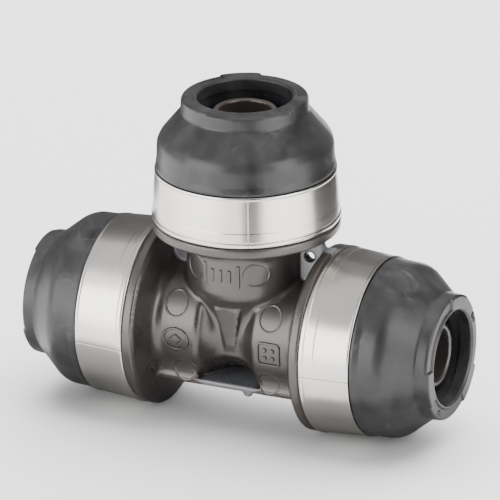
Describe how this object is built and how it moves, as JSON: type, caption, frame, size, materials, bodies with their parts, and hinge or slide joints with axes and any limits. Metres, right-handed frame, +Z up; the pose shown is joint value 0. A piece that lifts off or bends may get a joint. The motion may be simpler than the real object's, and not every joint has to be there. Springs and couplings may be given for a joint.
{
  "type": "push-fit pipe tee",
  "caption": "Push-fit plumbing tee: smoke-grey plastic body with a socket, O-rings, lock ring and steel-banded cap at each port.",
  "frame": {"origin": "on the surface under the run's centre, level with the lowest point of the run ports' bands; the run's axis is 17.5 mm up", "axes": "+X along the run to the right port, +Z up along the branch, +Y across the tee"},
  "size_m": [0.083, 0.035, 0.063],
  "materials": {
    "body_resin": "glossy, smoke grey, slightly see-through",
    "cap_resin": "satin dark grey with faint flow marks",
    "band_steel": "bright drawn stainless steel",
    "seal_rubber": "smooth black EPDM",
    "ring_resin": "natural acetal",
    "grip_steel": "stamped spring steel",
    "spreader_resin": "moulded blue resin"
  },
  "bodies": {
    "fitting": {"tee_body": "body_resin", "right_cap": "cap_resin", "left_cap": "cap_resin", "branch_cap": "cap_resin", "right_band": "band_steel", "left_band": "band_steel", "branch_band": "band_steel", "right_inner_o_ring": "seal_rubber", "left_inner_o_ring": "seal_rubber", "branch_inner_o_ring": "seal_rubber", "right_outer_o_ring": "seal_rubber", "left_outer_o_ring": "seal_rubber", "branch_outer_o_ring": "seal_rubber", "right_backing_ring": "ring_resin", "left_backing_ring": "ring_resin", "branch_backing_ring": "ring_resin"},
    "right_lock": {"right_lock_ring": "ring_resin", "right_grip_ring": "grip_steel"},
    "right_release": {"right_spreader": "spreader_resin"},
    "left_lock": {"left_lock_ring": "ring_resin", "left_grip_ring": "grip_steel"},
    "left_release": {"left_spreader": "spreader_resin"},
    "branch_lock": {"branch_lock_ring": "ring_resin", "branch_grip_ring": "grip_steel"},
    "branch_release": {"branch_spreader": "spreader_resin"}
  },
  "joints": [
    {"name": "right_lock_float", "type": "slide", "parent": "fitting", "child": "right_lock", "axis": [1, 0, 0], "range_m": [0, 0.001]},
    {"name": "right_spreader_push", "type": "slide", "parent": "fitting", "child": "right_release", "axis": [-1, 0, 0], "range_m": [0, 0.0204]},
    {"name": "left_lock_float", "type": "slide", "parent": "fitting", "child": "left_lock", "axis": [-1, 0, 0], "range_m": [0, 0.001]},
    {"name": "left_spreader_push", "type": "slide", "parent": "fitting", "child": "left_release", "axis": [1, 0, 0], "range_m": [0, 0.0204]},
    {"name": "branch_lock_float", "type": "slide", "parent": "fitting", "child": "branch_lock", "axis": [0, 0, 1], "range_m": [0, 0.001]},
    {"name": "branch_spreader_push", "type": "slide", "parent": "fitting", "child": "branch_release", "axis": [0, 0, -1], "range_m": [0, 0.0204]}
  ]
}
